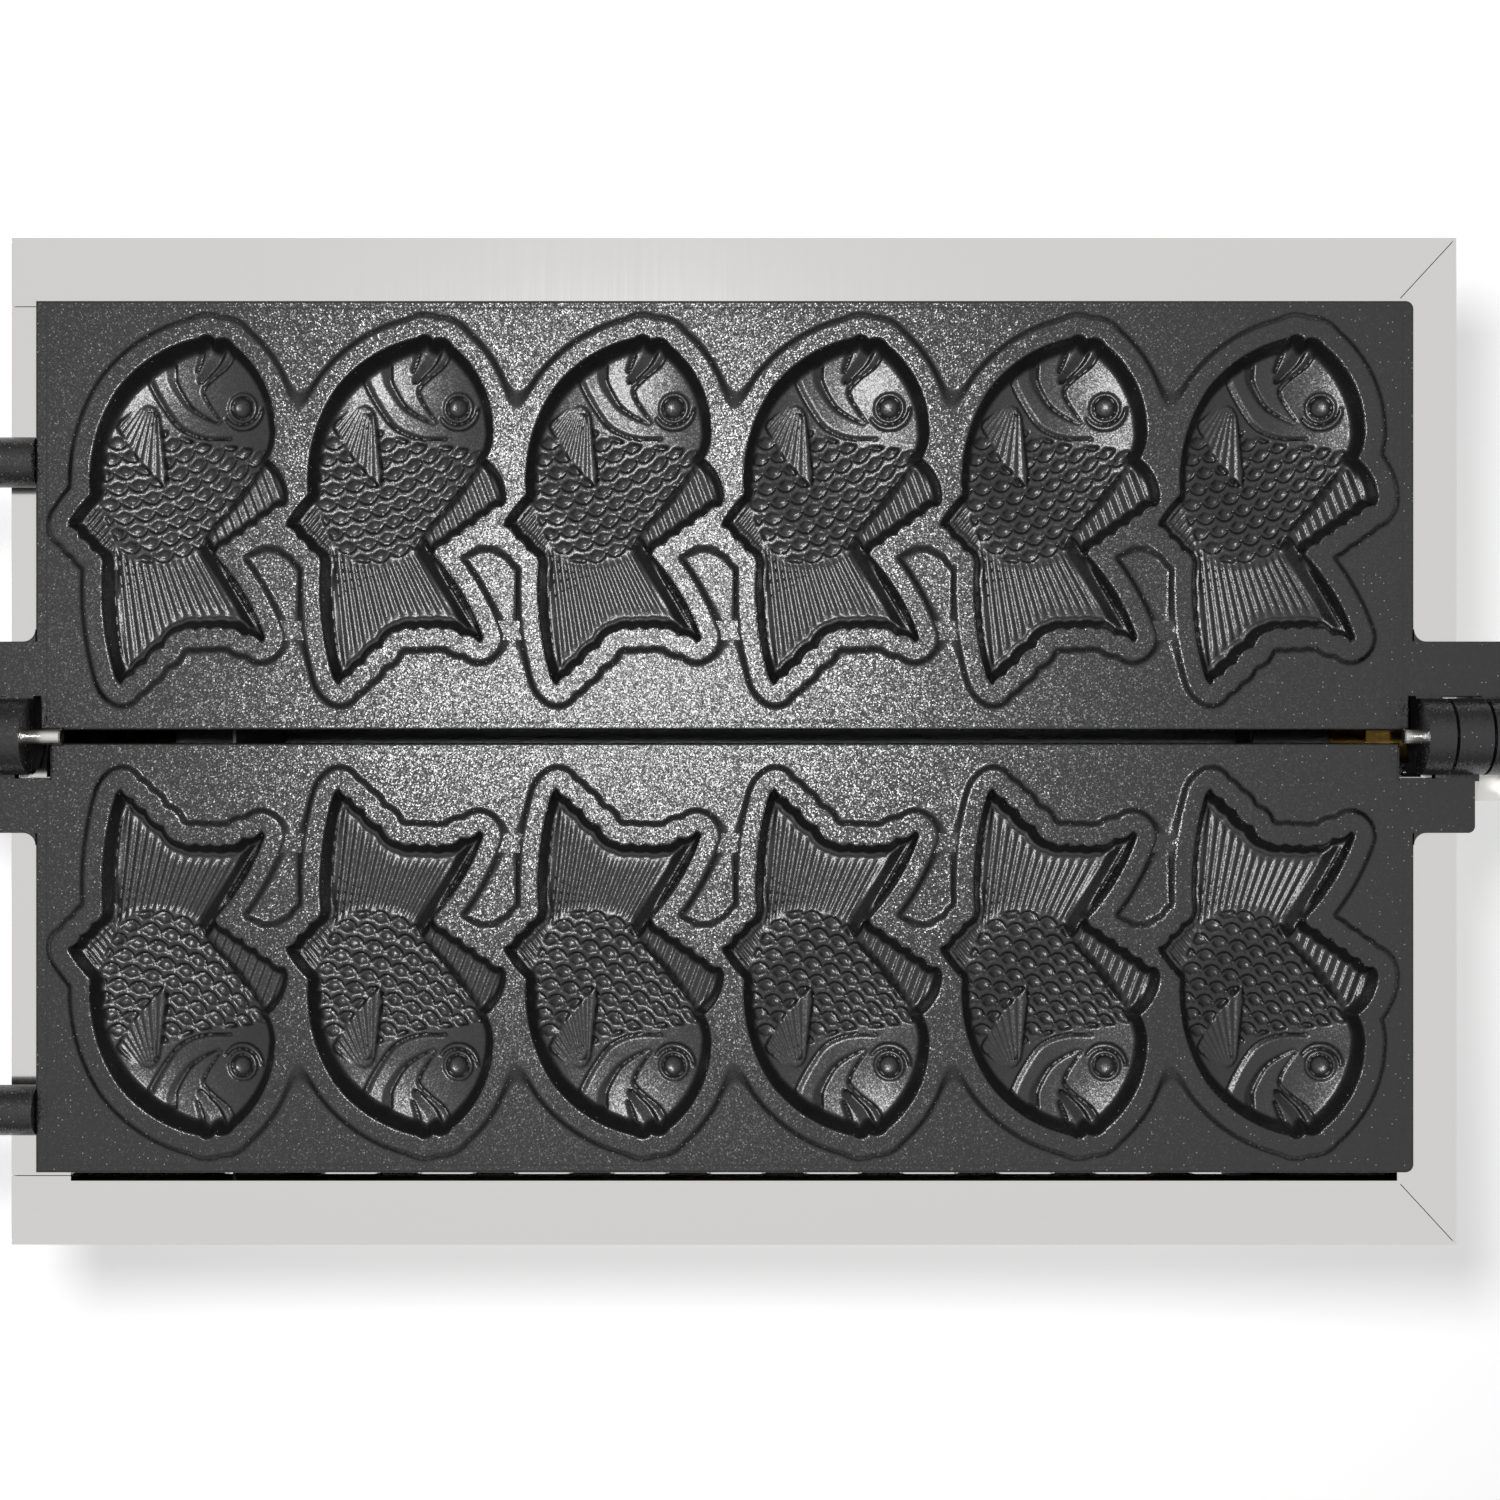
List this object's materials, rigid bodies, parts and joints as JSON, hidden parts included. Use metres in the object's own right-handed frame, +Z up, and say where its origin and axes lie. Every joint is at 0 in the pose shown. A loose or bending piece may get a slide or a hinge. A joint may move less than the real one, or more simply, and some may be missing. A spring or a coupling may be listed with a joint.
{
  "type": "taiyaki maker",
  "caption": "Gas countertop fish-cake maker: two hinged cast mould plates that flip over either burner, in a stainless box with gas knobs and a crumb tray.",
  "frame": {"origin": "middle of the overall box, at the level of the feet's soles", "axes": "+X from the operator's end with the handles and knobs to the gas inlet end, +Y to the left-hand mould plate, +Z up"},
  "size_m": [0.7282, 0.3818, 0.2253],
  "materials": {
    "stainless": "satin stainless sheet, fine brushed grain",
    "stainless_bracket": "bright stainless plate, lightly brushed",
    "rubber": "moulded black rubber, matt",
    "steel_fasteners": "stainless fasteners, turned and polished",
    "pin_steel": "ground steel, turned",
    "cast_aluminium_coated": "cast aluminium with a speckled charcoal non-stick coating",
    "blackened_steel": "blackened steel, matt",
    "bakelite": "moulded phenolic, satin black",
    "brass": "machined brass",
    "galvanised_steel": "galvanised steel, dull",
    "burner_iron": "cast iron burner, heat-dulled"
  },
  "bodies": {
    "body": {"body_wrap": "stainless", "control_panel": "stainless", "base_plate": "stainless", "foot_front_right": "rubber", "foot_front_left": "rubber", "foot_rear_right": "rubber", "foot_rear_left": "rubber", "foot_screws": "steel_fasteners", "foot_nuts": "steel_fasteners", "panel_screws": "steel_fasteners", "trunnion_bracket_front": "stainless_bracket", "trunnion_bracket_rear": "stainless_bracket", "bracket_screws": "steel_fasteners", "bracket_nuts": "steel_fasteners", "gas_manifold": "brass", "supply_pipe": "galvanised_steel", "gas_inlet_fitting": "brass", "inlet_lock_nut": "brass", "burner_left": "burner_iron", "burner_right": "burner_iron", "heat_shield": "stainless", "burner_support": "stainless", "tray_rail_left": "stainless", "tray_rail_right": "stainless", "gas_valve_left": "brass", "knob_bezel_left": "stainless_bracket", "gas_jet_left": "brass", "gas_valve_right": "brass", "knob_bezel_right": "stainless_bracket", "gas_jet_right": "brass"},
    "left_plate": {"left_mould_plate": "cast_aluminium_coated", "left_handle_rod": "blackened_steel", "left_handle_grip": "bakelite", "left_grip_cap": "pin_steel", "hinge_pin_front": "pin_steel", "hinge_pin_rear": "pin_steel", "pin_clips": "pin_steel", "pin_keys": "pin_steel"},
    "right_plate": {"right_mould_plate": "cast_aluminium_coated", "right_handle_rod": "blackened_steel", "right_handle_grip": "bakelite", "right_grip_cap": "pin_steel"},
    "tray": {"crumb_tray": "stainless", "tray_pull": "stainless_bracket"},
    "left_push_collar": {"push_collar_left": "pin_steel"},
    "left_gas_knob": {"valve_stem_left": "brass", "gas_knob_left": "bakelite"},
    "left_air_shutter": {"air_shutter_left": "galvanised_steel"},
    "right_push_collar": {"push_collar_right": "pin_steel"},
    "right_gas_knob": {"valve_stem_right": "brass", "gas_knob_right": "bakelite"},
    "right_air_shutter": {"air_shutter_right": "galvanised_steel"}
  },
  "joints": [
    {"name": "left_plate_hinge", "type": "hinge", "parent": "body", "child": "left_plate", "pos_m": [0.06375, 0.0016, 0.2113], "axis": [1, 0, 0], "range_deg": [0, 180]},
    {"name": "right_plate_hinge", "type": "hinge", "parent": "body", "child": "right_plate", "pos_m": [0.06375, 0.0016, 0.2113], "axis": [1, 0, 0], "range_deg": [-180, 0]},
    {"name": "tray_slide", "type": "slide", "parent": "body", "child": "tray", "axis": [-1, 0, 0], "range_m": [0, 0.4]},
    {"name": "left_knob_push", "type": "slide", "parent": "body", "child": "left_push_collar", "axis": [1, 0, 0], "range_m": [0, 0.003], "stiffness_N_per_m": 1200, "springref_m": -0.002},
    {"name": "left_knob_turn", "type": "hinge", "parent": "left_push_collar", "child": "left_gas_knob", "pos_m": [-0.20675, 0.094, 0.115], "axis": [-1, 0, 0], "range_deg": [0, 180]},
    {"name": "left_shutter_turn", "type": "hinge", "parent": "body", "child": "left_air_shutter", "pos_m": [-0.16975, 0.094, 0.115], "axis": [1, 0, 0], "range_deg": [0, 45]},
    {"name": "right_knob_push", "type": "slide", "parent": "body", "child": "right_push_collar", "axis": [1, 0, 0], "range_m": [0, 0.003], "stiffness_N_per_m": 1200, "springref_m": -0.002},
    {"name": "right_knob_turn", "type": "hinge", "parent": "right_push_collar", "child": "right_gas_knob", "pos_m": [-0.20675, -0.094, 0.115], "axis": [-1, 0, 0], "range_deg": [0, 180]},
    {"name": "right_shutter_turn", "type": "hinge", "parent": "body", "child": "right_air_shutter", "pos_m": [-0.16975, -0.094, 0.115], "axis": [1, 0, 0], "range_deg": [0, 45]}
  ]
}
